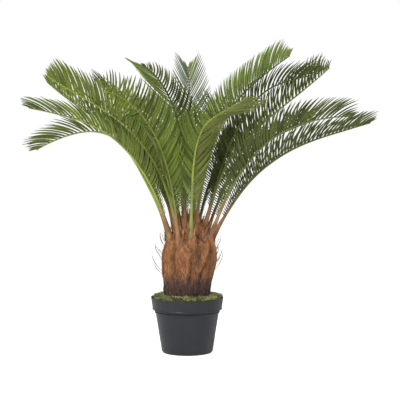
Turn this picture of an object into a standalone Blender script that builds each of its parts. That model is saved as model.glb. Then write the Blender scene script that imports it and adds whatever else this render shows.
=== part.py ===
# Artificial sago palm in a plain plastic pot.
# Units are metres and degrees. +Z is up and the camera side of the plant is -Y.
# The origin is at the centre of the pot's flat underside.

import math
from collections import namedtuple

import bmesh
import bpy
from mathutils import Vector
from mathutils.bvhtree import BVHTree

# Clearance between pieces that rest in or on each other
GAP = 0.0003

# Pot: a 17 cm nursery pot with a deep rolled band
POT_HEIGHT = 0.130
RIM_RADIUS = 0.085
BAND_DEPTH = 0.028
BAND_FOOT_RADIUS = 0.0812
WALL_TOP_RADIUS = 0.0755
WALL_FOOT_RADIUS = 0.0598
FOOT_RADIUS = 0.0572
FOOT_ROUND = 0.003
BEAD_HEIGHT = 0.0035
BEAD_PROUD = 0.0014
BEAD_DROP = 0.0035
POT_WALL = 0.0024
POT_FLOOR = 0.0035
RIM_ROUND = 0.0008
POT_STEPS = 40

# Filling that weights the pot, and the moss laid over it
FILL_TOP = 0.112
FILL_CLEAR = 0.0004
MOSS_TOP = 0.129
MOSS_STEPS = 36
MOSS_CLEAR = 0.0006
# The moss rises and sinks by this much, as two waves round the trunk: count and turn of each
MOSS_LUMP = 0.0022
MOSS_WAVES = ((9, 0.0), (4, 1.0))

# Trunk: a coir-wrapped barrel, given as radius and height from the flat cut up
TRUNK_SIDE = (
    (0.0525, 0.1123),
    (0.0535, 0.132),
    (0.0565, 0.160),
    (0.0600, 0.190),
    (0.0620, 0.214),
    (0.0612, 0.232),
    (0.0578, 0.248),
    (0.0535, 0.262),
    (0.0475, 0.275),
    (0.0405, 0.287),
    (0.0320, 0.298),
    (0.0220, 0.308),
    (0.0110, 0.315),
    (0.0, 0.318),
)
TRUNK_STEPS = 32
# The barrel's axis moves this much sideways per metre of height, from the height below
TRUNK_LEAN = 0.055
TRUNK_LEAN_FROM = 0.150
# Lobes round the barrel: count, share of the radius and turn of each
TRUNK_LOBES = ((3, 0.012, 0.4), (5, 0.016, 2.1))

# Fronds: radius and height of the foot inside the trunk, for each tier
TIERS = {
    "outer": (0.043, 0.246),
    "middle": (0.028, 0.262),
    "inner": (0.012, 0.272),
}
# seat and heading are compass angles from +X towards +Y. leans are the rib's angles from upright,
# evenly spaced from its foot to its tip. fold lifts both leaflet rows out of flat, roll turns the
# blade about its rib, and spreads are the leaflets' angles to the rib at the blade's foot and tip.
Frond = namedtuple("Frond", "tier seat heading leans length fold roll spreads")
FRONDS = (
    Frond("outer", 12, 8, (28, 35, 55, 72, 74), 0.510, 42, 0, (66, 20)),
    Frond("middle", 20, 8, (15, 20, 44, 52, 48), 0.524, 52, 0, (64, 42)),
    Frond("outer", 42, 38, (20, 30, 52, 68, 78), 0.480, 45, 0, (66, 34)),
    Frond("outer", 72, 60, (18, 28, 55, 85, 100), 0.470, 40, 0, (66, 32)),
    Frond("middle", 75, 76, (8, 20, 40, 60, 74), 0.450, 45, 0, (66, 34)),
    Frond("inner", 60, 94, (4, 8, 22, 40, 56), 0.462, 40, 0, (66, 18)),
    Frond("outer", 102, 102, (18, 30, 58, 88, 100), 0.480, 40, 0, (66, 32)),
    Frond("inner", 130, 116, (8, 20, 44, 68, 80), 0.460, 45, 0, (66, 34)),
    Frond("outer", 134, 124, (18, 28, 50, 74, 86), 0.480, 40, 0, (66, 32)),
    Frond("middle", 130, 142, (8, 18, 37, 54, 60), 0.480, 45, 0, (66, 34)),
    Frond("middle", 160, 165, (12, 28, 47, 57, 50), 0.512, 50, 0, (66, 30)),
    Frond("outer", 176, 172, (12, 26, 37, 97, 121), 0.492, 48, 0, (58, 18)),
    Frond("outer", 206, 191, (12, 24, 42, 70, 80), 0.502, 36, 0, (60, 14)),
    Frond("middle", 204, 188, (8, 20, 40, 59, 57), 0.510, 60, 0, (64, 32)),
    Frond("outer", 240, 226, (10, 12, 26, 50, 82), 0.460, -50, 80, (52, 58)),
    Frond("middle", 250, 241, (2, 3, 17, 47, 76), 0.486, -5, -8, (58, 20)),
    Frond("outer", 274, 300, (3, 3, 6, 26, 67, 74, 70), 0.492, -12, 0, (62, 26)),
    Frond("middle", 290, 2, (6, 11, 22, 46, 56), 0.506, 45, 0, (74, 38)),
    Frond("outer", 340, 347, (18, 26, 42, 70, 90), 0.492, 52, 0, (62, 22)),
    Frond("middle", 345, 3, (14, 15, 18, 26, 38, 72, 76), 0.517, 32, 0, (60, 40)),
)

# The bare stalk is this share of a frond's length, and the blade is the rest
BARE_SHARE = 0.16
STALK_RADIUS = 0.0055
BLADE_FOOT_RADIUS = 0.0036
RIB_TIP_RADIUS = 0.0013
STALK_RINGS = 5
SOCKET_CLEAR = 0.0007
# Directions of the rib section's corners: the upper ridge, then the keel edge on each side
RIB_CORNERS = (90, 210, 330)
# Straight steps that a rib is walked in from its foot
PATH_STEPS = 60

# Leaflets, in pairs along the blade
LEAFLET_PAIRS = 18
LEAFLET_LENGTH = 0.086
LEAFLET_BASE_SHARE = 0.52
LEAFLET_TIP_WIDTH = 0.0036
LEAFLET_TIP_THICK = 0.0009
# Shares of the blade over which leaflets grow to full length and then shorten by a share of it
GROW_SPAN = (-0.14, 0.46)
FADE_SPAN = (0.85, 1.0)
FADE_SHARE = 0.72
# How late along the blade the leaflets' spread narrows
SPREAD_EASE = 1.5
# A leaflet that would touch another frond is tried shorter, and left out below a length
TOUCH_CLEAR = 0.0006
ROOT_TOUCH_SCALE = 1.1
SHORTER_TRIES = (1.0, 0.82, 0.66, 0.5, 0.36)
SHORTEST_LEAFLET = 0.012


def clear_scene():
    for thing in list(bpy.data.objects):
        bpy.data.objects.remove(thing, do_unlink=True)


def new_collection(name):
    collection = bpy.data.collections.new(name)
    bpy.context.scene.collection.children.link(collection)
    return collection


def make_material(name, colour, roughness, metallic=0.0):
    material = bpy.data.materials.new(name)
    material.use_nodes = True
    shader = material.node_tree.nodes["Principled BSDF"]
    shader.inputs["Base Color"].default_value = (*colour, 1.0)
    shader.inputs["Roughness"].default_value = roughness
    shader.inputs["Metallic"].default_value = metallic
    return material


def add_object(name, mesh, collection, material):
    thing = bpy.data.objects.new(name, mesh)
    collection.objects.link(thing)
    mesh.materials.append(material)
    return thing


def turned_object(name, profile, steps, collection, material):
    """A solid of revolution. The profile of (radius, height) runs down its outer side."""
    mesh = bpy.data.meshes.new(name)
    points = [(radius, 0.0, height) for radius, height in profile]
    edges = [(i, i + 1) for i in range(len(points) - 1)]
    mesh.from_pydata(points, edges, [])
    thing = add_object(name, mesh, collection, material)
    screw = thing.modifiers.new("Turn", "SCREW")
    screw.steps = steps
    screw.render_steps = steps
    screw.use_merge_vertices = True
    screw.merge_threshold = 0.00001
    screw.use_smooth_shade = True
    return thing


def smooth_value(values, t):
    """Evenly spaced values joined by a smooth curve, read at t from 0 to 1."""
    last = len(values) - 1
    i = min(int(t * last), last - 1)
    u = t * last - i
    b = values[i]
    c = values[i + 1]
    a = values[i - 1] if i > 0 else 2 * b - c
    d = values[i + 2] if i + 2 <= last else 2 * c - b
    bend = 2 * a - 5 * b + 4 * c - d
    twist = 3 * (b - c) + d - a
    return b + 0.5 * u * (c - a + u * (bend + u * twist))


def ease(start, end, t):
    u = min(1.0, max(0.0, (t - start) / (end - start)))
    return u * u * (3 - 2 * u)


def pot_profile():
    """Closed vessel section, from the middle of the floor inside to the middle of the underside."""
    band_foot = POT_HEIGHT - BAND_DEPTH
    bead_top = band_foot - BEAD_DROP
    bead_foot = bead_top - BEAD_HEIGHT
    wall_inside_foot = WALL_FOOT_RADIUS - POT_WALL
    return (
        (0.0, POT_FLOOR),
        (wall_inside_foot - FOOT_ROUND, POT_FLOOR),
        (wall_inside_foot, POT_FLOOR + FOOT_ROUND),
        (WALL_TOP_RADIUS - POT_WALL, band_foot - POT_WALL),
        (BAND_FOOT_RADIUS - POT_WALL, band_foot + POT_WALL),
        (RIM_RADIUS - POT_WALL, POT_HEIGHT - RIM_ROUND),
        (RIM_RADIUS - POT_WALL + RIM_ROUND, POT_HEIGHT),
        (RIM_RADIUS - RIM_ROUND, POT_HEIGHT),
        (RIM_RADIUS, POT_HEIGHT - RIM_ROUND),
        (BAND_FOOT_RADIUS, band_foot + RIM_ROUND),
        (BAND_FOOT_RADIUS - RIM_ROUND, band_foot),
        (WALL_TOP_RADIUS, band_foot),
        (WALL_TOP_RADIUS, bead_top),
        (WALL_TOP_RADIUS + BEAD_PROUD, bead_top - RIM_ROUND),
        (WALL_TOP_RADIUS + BEAD_PROUD, bead_foot + RIM_ROUND),
        (WALL_TOP_RADIUS - RIM_ROUND, bead_foot),
        (WALL_FOOT_RADIUS, FOOT_ROUND),
        (FOOT_RADIUS + FOOT_ROUND / 3, RIM_ROUND),
        (FOOT_RADIUS, 0.0),
        (0.0, 0.0),
    )


def inside_radius(height):
    """Radius of the pot's inner wall at a height."""
    band_foot = POT_HEIGHT - BAND_DEPTH
    low = (WALL_FOOT_RADIUS - POT_WALL, POT_FLOOR + FOOT_ROUND)
    knee = (WALL_TOP_RADIUS - POT_WALL, band_foot - POT_WALL)
    ledge = (BAND_FOOT_RADIUS - POT_WALL, band_foot + POT_WALL)
    top = (RIM_RADIUS - POT_WALL, POT_HEIGHT - RIM_ROUND)
    for (r0, z0), (r1, z1) in ((low, knee), (knee, ledge), (ledge, top)):
        if height <= z1:
            return r0 + (r1 - r0) * (height - z0) / (z1 - z0)
    return top[0]


def build_pot(collection):
    plastic = make_material("pot_plastic", (0.048, 0.052, 0.058), 0.55)
    return turned_object("pot", pot_profile(), POT_STEPS, collection, plastic)


def build_fill(collection):
    """The plug that fills the pot, a gap clear of its walls and floor."""
    cement = make_material("fill_cement", (0.42, 0.40, 0.37), 0.9)
    band_foot = POT_HEIGHT - BAND_DEPTH
    heights = (FILL_TOP, band_foot + POT_WALL, band_foot - POT_WALL, POT_FLOOR + FOOT_ROUND)
    side = [(inside_radius(z) - FILL_CLEAR, z) for z in heights]
    side[2] = (side[2][0], side[2][1] + GAP)
    floor_radius = WALL_FOOT_RADIUS - POT_WALL - FOOT_ROUND - FILL_CLEAR
    profile = [(0.0, FILL_TOP), *side, (floor_radius, POT_FLOOR + GAP), (0.0, POT_FLOOR + GAP)]
    return turned_object("pot_fill", profile, POT_STEPS, collection, cement)


def trunk_radius(height, angle):
    """Radius of the lobed barrel at a height and compass angle."""
    radius = 0.0
    for (r0, z0), (r1, z1) in zip(TRUNK_SIDE, TRUNK_SIDE[1:]):
        if z0 <= height <= z1:
            radius = r0 + (r1 - r0) * (height - z0) / (z1 - z0)
    lobes = sum(size * math.cos(count * angle + turn) for count, size, turn in TRUNK_LOBES)
    return radius * (1 + lobes)


def trunk_shift(height):
    """Sideways place of the barrel's axis, which leans a little towards +X."""
    return TRUNK_LEAN * (height - TRUNK_LEAN_FROM)


def trunk_reach(height, angle):
    """How far the barrel's side lies from the pot's axis."""
    return trunk_radius(height, angle) + trunk_shift(height) * math.cos(angle)


def moss_section(angle):
    """Five corners of the moss ring's section as radius and height, at a compass angle."""
    low = FILL_TOP + GAP
    lump = MOSS_LUMP
    for count, turn in MOSS_WAVES:
        lump *= math.sin(count * angle + turn)
    crest = MOSS_TOP + lump
    shoulder = crest - 2 * MOSS_LUMP
    near = max(trunk_reach(low, angle), trunk_reach(crest, angle)) + MOSS_CLEAR
    far = inside_radius(shoulder) - MOSS_CLEAR
    return (
        (near, low),
        (near, crest - MOSS_LUMP),
        (0.5 * (near + far), crest),
        (far, shoulder),
        (inside_radius(low) - MOSS_CLEAR, low),
    )


def build_moss(collection):
    """A lumpy ring of moss between the trunk and the pot, laid on the filling."""
    green = make_material("moss_fibre", (0.20, 0.26, 0.04), 0.95)
    bm = bmesh.new()
    rings = []
    for k in range(MOSS_STEPS):
        angle = 2 * math.pi * k / MOSS_STEPS
        x, y = math.cos(angle), math.sin(angle)
        rings.append([bm.verts.new((x * r, y * r, z)) for r, z in moss_section(angle)])
    for k, ring in enumerate(rings):
        follower = rings[(k + 1) % MOSS_STEPS]
        for i in range(len(ring)):
            j = (i + 1) % len(ring)
            bm.faces.new((ring[i], ring[j], follower[j], follower[i]))
    return finished_mesh("moss", bm, collection, green)


def frond_way(frond, t):
    """Direction in which the rib runs at t."""
    lean = math.radians(smooth_value(frond.leans, t))
    heading = math.radians(frond.heading)
    flat = math.sin(lean)
    return Vector((flat * math.cos(heading), flat * math.sin(heading), math.cos(lean)))


def frond_path(frond, t):
    """Walks the rib to t and gives the point with its way, side and up directions."""
    radius, height = TIERS[frond.tier]
    seat = math.radians(frond.seat)
    heading = math.radians(frond.heading)
    foot_x = trunk_shift(height) + radius * math.cos(seat)
    point = Vector((foot_x, radius * math.sin(seat), height))
    for i in range(PATH_STEPS):
        point += frond_way(frond, t * (i + 0.5) / PATH_STEPS) * (frond.length * t / PATH_STEPS)
    way = frond_way(frond, t)
    level = Vector((-math.sin(heading), math.cos(heading), 0.0))
    roll = math.radians(frond.roll)
    side = level * math.cos(roll) + way.cross(level) * math.sin(roll)
    return point, way, side, way.cross(side)


def rib_radius(t):
    if t < BARE_SHARE:
        return STALK_RADIUS + (BLADE_FOOT_RADIUS - STALK_RADIUS) * t / BARE_SHARE
    u = (t - BARE_SHARE) / (1 - BARE_SHARE)
    return BLADE_FOOT_RADIUS + (RIB_TIP_RADIUS - BLADE_FOOT_RADIUS) * u


def ring_corners(frond, t, grow=0.0):
    """Corners of the rib's three-sided section at t."""
    point, _, side, up = frond_path(frond, t)
    radius = rib_radius(t) + grow
    corners = []
    for turn in RIB_CORNERS:
        angle = math.radians(turn)
        corners.append(point + up * (radius * math.sin(angle)) - side * (radius * math.cos(angle)))
    return corners


def leaflet_length(u):
    """Leaflet length along the blade: short at its foot, full past the middle, short at the tip."""
    return LEAFLET_LENGTH * ease(*GROW_SPAN, u) * (1 - FADE_SHARE * ease(*FADE_SPAN, u))


def leaflet_direction(frond, t, hand):
    """Way that a leaflet points: out to one side, folded up and swept towards the tip."""
    _, way, side, up = frond_path(frond, t)
    u = (t - BARE_SHARE) / (1 - BARE_SHARE)
    foot_spread, tip_spread = frond.spreads
    spread = math.radians(foot_spread + (tip_spread - foot_spread) * u ** SPREAD_EASE)
    fold = math.radians(frond.fold)
    out = side * (hand * math.cos(fold)) + up * math.sin(fold)
    return (out * math.sin(spread) + way * math.cos(spread)).normalized(), way


def tip_corners(base, direction, way, length, grow=0.0):
    """Four corners of a leaflet's blunt end, in the order of its base corners."""
    centre = sum(base, Vector()) / 4 + direction * (length + grow)
    across = (way - direction * way.dot(direction)).normalized()
    normal = base[0] + base[1] - base[2] - base[3]
    normal = (normal - direction * normal.dot(direction) - across * normal.dot(across)).normalized()
    across = across * (LEAFLET_TIP_WIDTH / 2 + grow)
    normal = normal * (LEAFLET_TIP_THICK / 2 + grow)
    return [
        centre - across + normal,
        centre + across + normal,
        centre + across - normal,
        centre - across - normal,
    ]


def leaflet_hull(base, direction, way, length):
    """The leaflet as a closed box, a little larger than it is built, for the touch test."""
    middle = sum(base, Vector()) / 4
    corners = [middle + (corner - middle) * ROOT_TOUCH_SCALE for corner in base]
    corners += tip_corners(base, direction, way, length, TOUCH_CLEAR)
    faces = [(0, 1, 2, 3), (7, 6, 5, 4)]
    for i in range(4):
        j = (i + 1) % 4
        faces.append((i, i + 4, j + 4, j))
    return corners, faces


def stalk_stations():
    """Where the bare stalk's sections lie, as shares of the frond's length."""
    return [BARE_SHARE * k / STALK_RINGS for k in range(STALK_RINGS)]


def pair_stations():
    """Where each leaflet pair starts and ends on the rib, as shares of the frond's length."""
    step = (1 - BARE_SHARE) / LEAFLET_PAIRS
    starts = [BARE_SHARE + step * k for k in range(LEAFLET_PAIRS)]
    return [(start, start + step * LEAFLET_BASE_SHARE) for start in starts]


def all_stations():
    return stalk_stations() + [t for pair in pair_stations() for t in pair] + [1.0]


def rib_tree(frond):
    """Touch-test surface of one frond's rib, drawn a little thicker than it is."""
    points = []
    faces = []
    for k, t in enumerate(all_stations()):
        points += ring_corners(frond, t, 2 * TOUCH_CLEAR)
        if k == 0:
            continue
        for i in range(3):
            j = (i + 1) % 3
            faces.append((3 * k - 3 + i, 3 * k - 3 + j, 3 * k + j, 3 * k + i))
    return BVHTree.FromPolygons(points, faces)


def bounds_of(points):
    low = [min(p[i] for p in points) for i in range(3)]
    high = [max(p[i] for p in points) for i in range(3)]
    return low, high


def boxes_meet(a, b):
    return all(a[0][i] <= b[1][i] and b[0][i] <= a[1][i] for i in range(3))


def leaflet_root(rings, segment, hand):
    """Four rib corners that a leaflet grows from, of the sections before and after it."""
    low = rings[segment]
    high = rings[segment + 1]
    edge = 1 if hand > 0 else 2
    return [low[0], high[0], high[edge], low[edge]]


def plan_leaflets():
    """Chooses each leaflet's length, so that none touches a rib or leaflet of another frond."""
    ribs = [rib_tree(frond) for frond in FRONDS]
    placed = []
    plan = {}
    for k, (start, end) in reversed(list(enumerate(pair_stations()))):
        full_length = leaflet_length((k + 0.5) / LEAFLET_PAIRS)
        for number, frond in enumerate(FRONDS):
            rings = (ring_corners(frond, start), ring_corners(frond, end))
            for hand in (1, -1):
                base = leaflet_root(rings, 0, hand)
                direction, way = leaflet_direction(frond, 0.5 * (start + end), hand)
                for share in SHORTER_TRIES:
                    length = full_length * share
                    if length < SHORTEST_LEAFLET and share < 1.0:
                        break
                    corners, faces = leaflet_hull(base, direction, way, length)
                    box = bounds_of(corners)
                    tree = BVHTree.FromPolygons(corners, faces)
                    near = [rib for i, rib in enumerate(ribs) if i != number]
                    near += [t for n, b, t in placed if n != number and boxes_meet(b, box)]
                    if not any(tree.overlap(other) for other in near):
                        placed.append((number, box, tree))
                        plan[(number, k, hand)] = length
                        break
    return plan


def finished_mesh(name, bm, collection, material):
    """Turns the faces outwards, closes the working mesh and gives it an object."""
    bmesh.ops.recalc_face_normals(bm, faces=bm.faces)
    mesh = bpy.data.meshes.new(name)
    bm.to_mesh(mesh)
    bm.free()
    return add_object(name, mesh, collection, material)


def loft(bm, sections):
    """Closed three-sided tube through the sections. Gives its rings and its side faces."""
    rings = [[bm.verts.new(corner) for corner in section] for section in sections]
    bm.faces.new(rings[0])
    bm.faces.new(reversed(rings[-1]))
    sides = {}
    for k, (ring, follower) in enumerate(zip(rings, rings[1:])):
        for i in range(3):
            j = (i + 1) % 3
            sides[(k, i)] = bm.faces.new((ring[j], ring[i], follower[i], follower[j]))
    return rings, sides


def build_frond(number, frond, plan, collection, material):
    """One frond: a three-sided rib with its leaflets drawn out of the two upper faces."""
    bm = bmesh.new()
    rings, sides = loft(bm, [ring_corners(frond, t) for t in all_stations()])
    for k, (start, end) in enumerate(pair_stations()):
        segment = STALK_RINGS + 2 * k
        for hand, side in ((1, 0), (-1, 2)):
            length = plan.get((number, k, hand))
            if length is None:
                continue
            base = [vert.co.copy() for vert in leaflet_root(rings, segment, hand)]
            direction, way = leaflet_direction(frond, 0.5 * (start + end), hand)
            tips = tip_corners(base, direction, way, length)
            face = sides[(segment, side)]
            drawn = bmesh.ops.extrude_discrete_faces(bm, faces=[face])["faces"][0]
            for vert in drawn.verts:
                vert.co = tips[min(range(4), key=lambda i: (vert.co - base[i]).length)]
    return finished_mesh(f"frond_{number + 1:02d}", bm, collection, material)


def build_sockets(collection, material):
    """All the stalk feet as one cutter, a little larger than the stalks themselves."""
    bm = bmesh.new()
    for frond in FRONDS:
        sections = [ring_corners(frond, t, SOCKET_CLEAR) for t in stalk_stations()]
        foot = frond_way(frond, 0.0) * GAP
        sections[0] = [corner - foot for corner in sections[0]]
        loft(bm, sections[:-1])
    cutter = finished_mesh("stalk_sockets", bm, collection, material)
    cutter.hide_render = True
    cutter.display_type = "WIRE"
    return cutter


def build_trunk(collection, cutters):
    """The barrel on the filling, with a socket for each frond's stalk."""
    coir = make_material("trunk_coir", (0.30, 0.14, 0.06), 0.95)
    bm = bmesh.new()
    rings = []
    for _, height in TRUNK_SIDE[:-1]:
        ring = []
        for k in range(TRUNK_STEPS):
            angle = 2 * math.pi * k / TRUNK_STEPS
            radius = trunk_radius(height, angle)
            x = trunk_shift(height) + radius * math.cos(angle)
            ring.append(bm.verts.new((x, radius * math.sin(angle), height)))
        rings.append(ring)
    top_height = TRUNK_SIDE[-1][1]
    top = bm.verts.new((trunk_shift(top_height), 0.0, top_height))
    bm.faces.new(reversed(rings[0]))
    for k in range(TRUNK_STEPS):
        j = (k + 1) % TRUNK_STEPS
        for ring, follower in zip(rings, rings[1:]):
            bm.faces.new((ring[k], ring[j], follower[j], follower[k]))
        bm.faces.new((rings[-1][k], rings[-1][j], top))
    trunk = finished_mesh("trunk", bm, collection, coir)
    cut = trunk.modifiers.new("Sockets", "BOOLEAN")
    cut.operation = "DIFFERENCE"
    cut.solver = "EXACT"
    cut.object = build_sockets(cutters, coir)
    return trunk


def main():
    clear_scene()
    palm = new_collection("sago_palm")
    cutters = new_collection("cutters")
    build_pot(palm)
    build_fill(palm)
    build_moss(palm)
    build_trunk(palm, cutters)
    leaf_green = make_material("frond_green", (0.10, 0.17, 0.035), 0.5)
    plan = plan_leaflets()
    for number, frond in enumerate(FRONDS):
        build_frond(number, frond, plan, palm, leaf_green)


main()
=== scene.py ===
import random
from collections import namedtuple
from math import cos, degrees, exp, hypot, pi, radians, sin, sqrt

import bpy
import numpy as np
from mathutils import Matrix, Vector, noise


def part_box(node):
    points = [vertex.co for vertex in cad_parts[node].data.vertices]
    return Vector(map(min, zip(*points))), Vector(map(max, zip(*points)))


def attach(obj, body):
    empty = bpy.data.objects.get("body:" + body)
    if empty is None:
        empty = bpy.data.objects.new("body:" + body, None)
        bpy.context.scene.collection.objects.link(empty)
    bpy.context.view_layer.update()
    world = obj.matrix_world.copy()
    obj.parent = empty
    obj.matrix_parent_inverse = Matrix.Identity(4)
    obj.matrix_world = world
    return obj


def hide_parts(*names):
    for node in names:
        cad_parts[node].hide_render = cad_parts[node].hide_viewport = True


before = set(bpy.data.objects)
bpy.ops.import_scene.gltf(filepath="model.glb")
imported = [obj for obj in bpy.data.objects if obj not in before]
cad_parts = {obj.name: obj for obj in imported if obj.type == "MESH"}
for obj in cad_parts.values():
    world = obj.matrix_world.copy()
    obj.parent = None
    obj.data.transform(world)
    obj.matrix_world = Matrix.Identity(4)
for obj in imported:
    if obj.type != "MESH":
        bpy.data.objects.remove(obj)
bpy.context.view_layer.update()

# Sizes read from the frame
POT_LOW, POT_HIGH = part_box("pot")
MOSS_LOW, MOSS_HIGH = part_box("moss")
RIM_RADIUS = 0.5 * (POT_HIGH.x - POT_LOW.x)
POT_HEIGHT = POT_HIGH.z

# Pot below the rim: the band, the bead under it, the wall and the foot
BAND_DEPTH = 0.028
BAND_FOOT_RADIUS = 0.0812
WALL_TOP_RADIUS = 0.0755
WALL_FOOT_RADIUS = 0.0598
FOOT_RADIUS = 0.0572
FOOT_ROUND = 0.003
BEAD_HEIGHT = 0.0042
BEAD_PROUD = 0.0019
BEAD_DROP = 0.0046
POT_WALL = 0.0024
POT_FLOOR = 0.0035

# Moss: its gap to the pot, and how many sprigs stand on it
MOSS_GAP = 0.0006
SPRIGS = 3600
# Noise above which a patch is bright, and above which it is green and not soil
BRIGHT_ABOVE = 0.06
GREEN_ABOVE = -0.24

# Barrel, as radius and height from the moss up, with its lean and its lobes
TRUNK_SIDE = (
    (0.0525, 0.1123), (0.0535, 0.132), (0.0565, 0.16), (0.06, 0.19), (0.062, 0.214),
    (0.0612, 0.232), (0.0578, 0.248), (0.0535, 0.262), (0.0475, 0.275), (0.0405, 0.287),
    (0.032, 0.298), (0.022, 0.308), (0.011, 0.315), (0.0, 0.318),
)
TRUNK_LEAN = 0.055
TRUNK_LEAN_FROM = 0.15
TRUNK_LOBES = ((3, 0.012, 0.4), (5, 0.016, 2.1))
TRUNK_COLUMNS = 330
TRUNK_ROWS = 150
SLOPE_STEP = 0.004
# Deep creases of the coir wrap, as compass angles
CREASES = (24, 58, 92, 130, 164, 198, 241, 303, 324, 352, 384)
# How far the wrap bulges between its creases
LOBE_LIFT = 0.01
# Ridges and hollows of the wrap: angle and height of the upper end, of the lower end, half width, lift
RIDGES = (
    (270, 0.228, 268, 0.178, 3.0, 0.0074), (258, 0.262, 281, 0.228, 3.2, 0.0062),
    (318, 0.258, 295, 0.19, 3.6, 0.007), (221, 0.262, 227, 0.186, 4.2, 0.005),
    (338, 0.262, 342, 0.19, 5.0, 0.0026), (16, 0.25, 12, 0.185, 4.5, 0.0026),
    (40, 0.255, 47, 0.2, 4.0, 0.0046), (78, 0.26, 72, 0.184, 5.0, 0.0038),
    (108, 0.24, 116, 0.19, 4.0, 0.005), (146, 0.262, 150, 0.196, 5.0, 0.0036),
    (192, 0.25, 189, 0.182, 4.5, 0.003), (302, 0.292, 300, 0.262, 7.0, -0.01),
    (222, 0.29, 226, 0.266, 5.0, -0.007), (255, 0.286, 257, 0.266, 4.0, -0.006),
    (58, 0.29, 60, 0.262, 7.0, -0.009), (118, 0.288, 120, 0.264, 6.0, -0.008),
)
# Noise on the wrap: its size, its scale round the barrel and up it, and its offsets
COIR_WAVES = {
    "sway": (9, 2, 11, 0, 0, 0),
    "fold": (0.0014, 3.2, 6, 0, 0, 0),
    "crease": (1, 2.4, 9, 9, 0, 3),
    "skirt": (0.012, 4, 0, 0, 8, 0.5),
    "lump": (0.0024, 11, 70, 3, 0, 0),
    "grain": (0.0006, 26, 26, 0, 2, 0),
    "fibre": (0.0003, 70, 60, 0, 0, 7),
}
# Ragged edge of the sheet, below which the barrel is bare
SKIRT_EDGE = 0.178

# Loose fibres on the wrap
FIBRES = 4200
# Fibres are dark in the creases, as painted shade, and below the sheet's edge, and pale on what stands
# proud, as a painted highlight
PAINTED_SHADE_BELOW = -0.004
PAINTED_HIGHLIGHT_ABOVE = 0.0008
PALE_SHARE = 0.12
LOW_COPPER_SHARE = 0.05

# Wisps that stand off the wrap, all round it
WISPS = 84
# Long wisps at the sides: angle and height of the foot, length, and how far out the tip leans
LONG_WISPS = (
    (182, 0.19, 0.046, 0.56), (186, 0.184, 0.026, 0.7), (177, 0.222, 0.03, 0.55),
    (184, 0.248, 0.034, 0.34), (2, 0.24, 0.036, 0.4), (357, 0.188, 0.05, 0.5),
    (5, 0.21, 0.034, 0.5), (352, 0.228, 0.026, 0.45),
)

# Brown scales on the shoulder: how many there are, and the turn from one to the next
SCALES = 84
SCALE_TURN = 2.399963

# Sheaths, the feet of the outer stalks, and the torn boots round some of them
SHEATH_FOOT = 0.248
SHEATH_DEPTH = 0.009
SHEATH_TOP = 0.105
SHEATH_RINGS = 15
BOOTED_SEATS = (12, 72, 102, 176, 340)
BOOT_PROUD = 0.002

# Fronds: radius and height of the foot inside the trunk, for each tier
TIERS = {"outer": (0.043, 0.246), "middle": (0.028, 0.262), "inner": (0.012, 0.272)}
# seat and heading are compass angles from +X towards +Y. leans are the rib's angles from upright,
# evenly spaced from its foot to its tip. fold lifts both leaflet rows out of flat, roll turns the
# blade about its rib, spreads are the leaflets' angles to the rib at the blade's foot and tip, and
# tints name the greens of the two rows. The tints carry painted light: rows that stand in shade, at
# the right and the back, have the dark greens deep and shade as painted shade, and lit rows and a
# row with a sheen have pale as painted light and painted sheen.
Frond = namedtuple("Frond", "tier seat heading leans length fold roll spreads tints")
FRONDS = [Frond(*row) for row in (
    ("outer", 12, 8, (28, 35, 55, 72, 74), 0.51, 42, 0, (66, 20), ("deep", "deep")),
    ("middle", 20, 8, (15, 20, 44, 52, 48), 0.524, 52, 0, (64, 42), ("deep", "mid")),
    ("outer", 42, 38, (20, 30, 52, 68, 78), 0.48, 45, 0, (66, 34), ("shade", "deep")),
    ("outer", 72, 60, (18, 28, 55, 85, 100), 0.47, 40, 0, (66, 32), ("mid", "mid")),
    ("middle", 75, 76, (8, 20, 40, 60, 74), 0.45, 45, 0, (66, 34), ("deep", "deep")),
    ("inner", 60, 94, (4, 8, 22, 40, 56), 0.462, 40, 0, (66, 18), ("grey", "grey")),
    ("outer", 102, 102, (18, 30, 58, 88, 100), 0.48, 40, 0, (66, 32), ("olive", "olive")),
    ("inner", 130, 116, (8, 20, 44, 68, 80), 0.46, 45, 0, (66, 34), ("mid", "mid")),
    ("outer", 134, 124, (18, 28, 50, 74, 86), 0.48, 40, 0, (66, 32), ("deep", "deep")),
    ("middle", 130, 142, (8, 18, 37, 54, 60), 0.48, 45, 0, (66, 34), ("mid", "mid")),
    ("middle", 160, 165, (12, 28, 47, 57, 50), 0.512, 50, 0, (66, 30), ("fresh", "pale")),
    ("outer", 176, 172, (12, 26, 37, 97, 121), 0.492, 48, 0, (58, 18), ("mid", "mid")),
    ("outer", 206, 191, (12, 24, 42, 70, 80), 0.502, 36, 0, (60, 14), ("mid", "fresh")),
    ("middle", 204, 188, (8, 20, 40, 59, 57), 0.51, 60, 0, (64, 32), ("mid", "fresh")),
    ("outer", 240, 226, (10, 12, 26, 50, 82), 0.46, -50, 80, (52, 58), ("fresh", "fresh")),
    ("middle", 250, 241, (2, 3, 17, 47, 76), 0.486, -5, -8, (58, 20), ("mid", "pale")),
    ("outer", 274, 300, (3, 3, 6, 26, 67, 74, 70), 0.492, -12, 0, (62, 26), ("olive", "fresh")),
    ("middle", 290, 2, (6, 11, 22, 46, 56), 0.506, 45, 0, (74, 38), ("pale", "pale")),
    ("outer", 340, 347, (18, 26, 42, 70, 90), 0.492, 52, 0, (62, 22), ("deep", "deep")),
    ("middle", 345, 3, (14, 15, 18, 26, 38, 72, 76), 0.517, 32, 0, (60, 40), ("mid", "shade")),
)]
FROND_NODES = [f"frond_{k + 1:02d}" for k in range(len(FRONDS))]

# Rib and stalk of a frond
BARE_SHARE = 0.16
STALK_RADIUS = 0.005
BLADE_FOOT_RADIUS = 0.0035
RIB_TIP_RADIUS = 0.0012
CURVE_STEPS = 240
STALK_SHARE = 0.32
# The frond that rises in front of the trunk, and the heights between which stalks turn green
FRONT_FROND = 16
STALK_TURNS = {"bright": (0.298, 0.368), "dull": (0.33, 0.395), "front": (0.262, 0.308)}

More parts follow.
